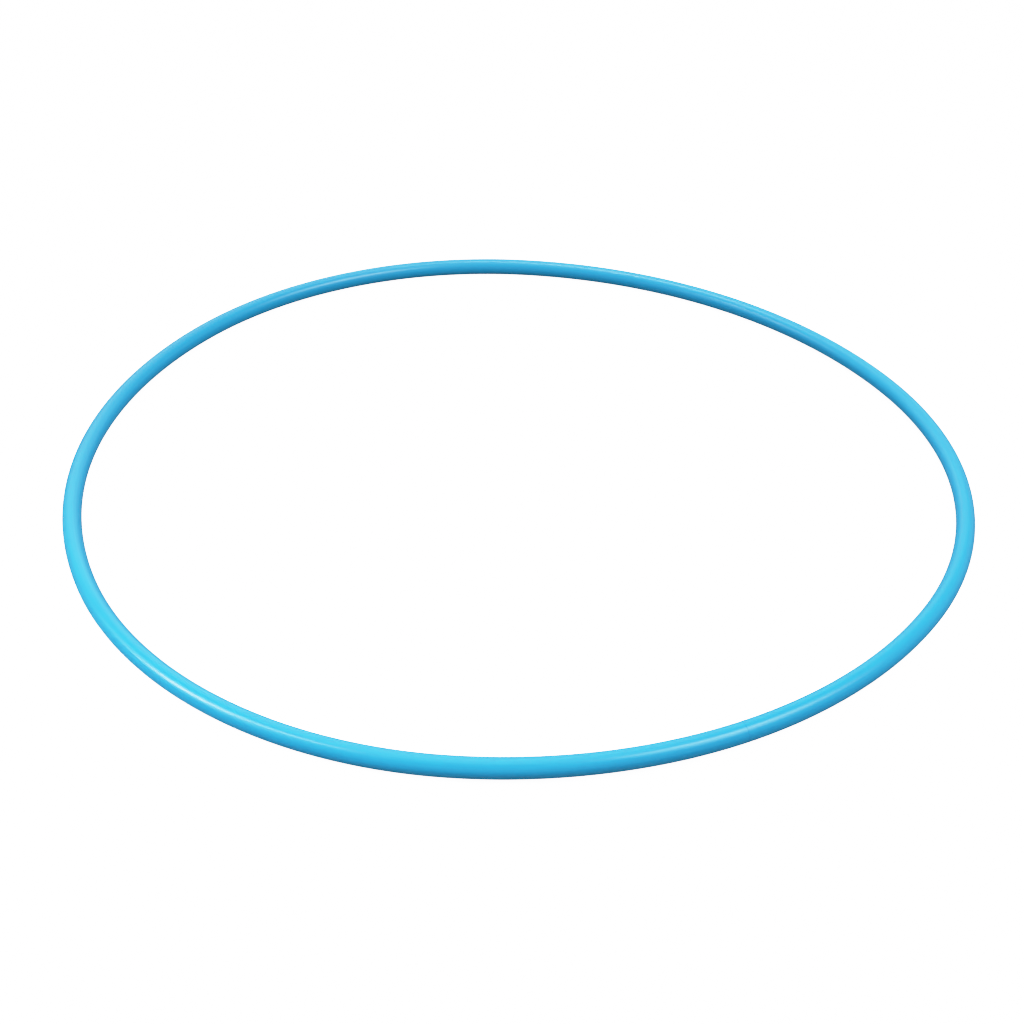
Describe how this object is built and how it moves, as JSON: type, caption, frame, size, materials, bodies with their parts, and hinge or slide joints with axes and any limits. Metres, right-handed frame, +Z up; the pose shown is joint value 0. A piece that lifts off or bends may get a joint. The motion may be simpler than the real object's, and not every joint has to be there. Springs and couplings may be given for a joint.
{
  "type": "rhythmic hoop",
  "caption": "Rhythmic gymnastics hoop: a smooth round plastic tube bent into a ring, its butt seam held by an inner plug and staples.",
  "frame": {"origin": "centre of the ring's bounding box, on the plane that the hoop lies on", "axes": "+Z up, square to the plane of the ring; -Y runs from the origin to the seam; +X to the right of the seam"},
  "size_m": [0.886, 0.886, 0.018],
  "materials": {
    "hoop_plastic": "gloss",
    "plug_nylon": "satin",
    "staple_steel": "satin"
  },
  "bodies": {
    "root": {"hoop_tube": "hoop_plastic", "joint_plug": "plug_nylon", "left_staple": "staple_steel", "right_staple": "staple_steel"}
  },
  "joints": []
}
